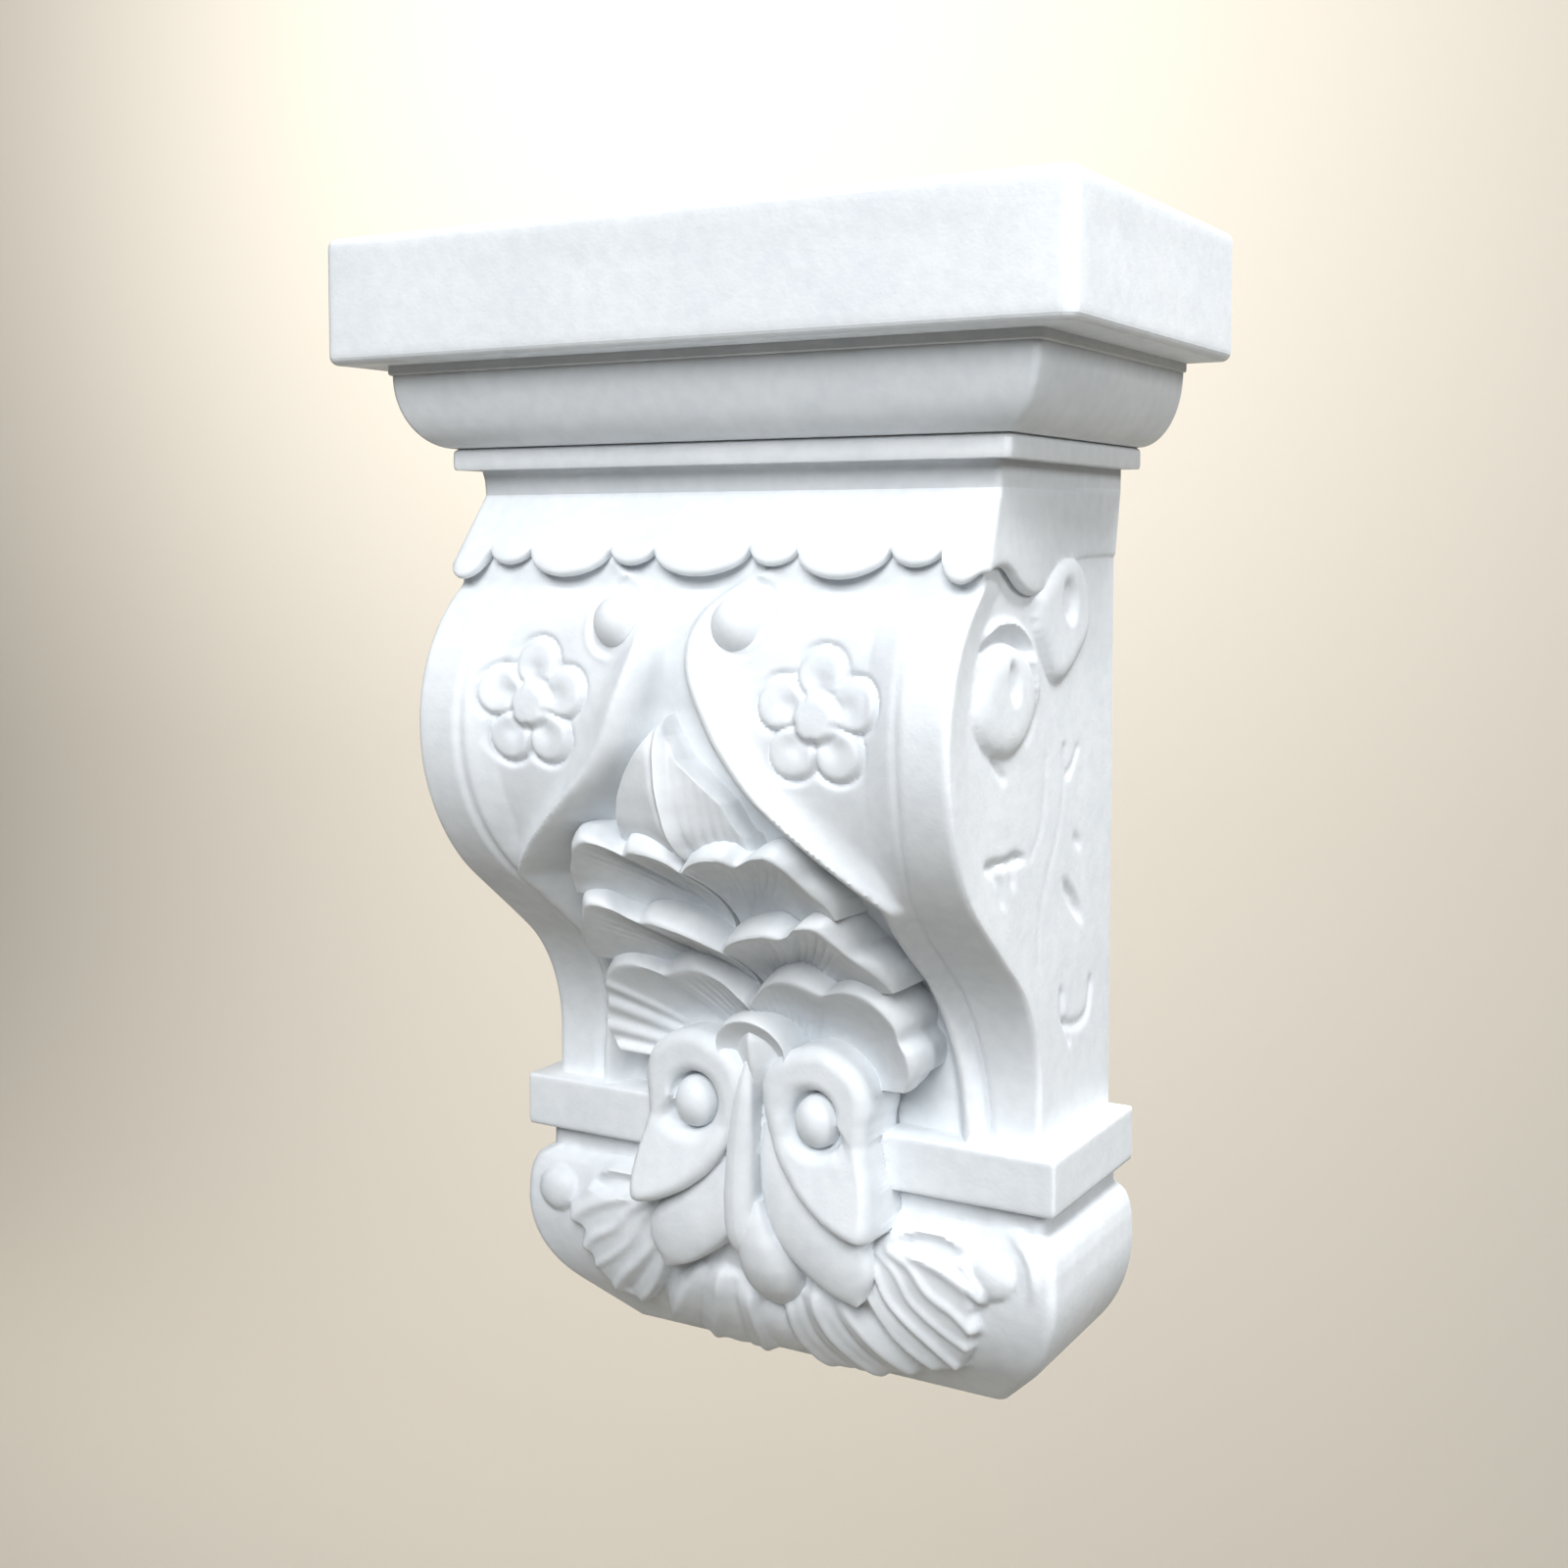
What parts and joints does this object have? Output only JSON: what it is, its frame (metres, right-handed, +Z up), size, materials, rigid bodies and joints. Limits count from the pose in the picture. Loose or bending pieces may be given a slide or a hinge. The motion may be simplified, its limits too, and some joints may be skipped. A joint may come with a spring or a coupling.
{
  "type": "corbel",
  "caption": "Wall corbel: a flat slab over a scalloped apron and an S-shaped body carved with flowers, acanthus leaves and volutes, for carrying a shelf or mantel.",
  "frame": {"origin": "the middle of the flat back, which is the face that lies on the wall", "axes": "+Z up, -Y out of the wall and +X to the right of a viewer facing the wall"},
  "size_m": [0.25, 0.129, 0.3626],
  "materials": {
    "plaster": "white cast plaster, smooth and satin-matt, with softened edges"
  },
  "bodies": {
    "root": {"corbel": "plaster"}
  },
  "joints": []
}
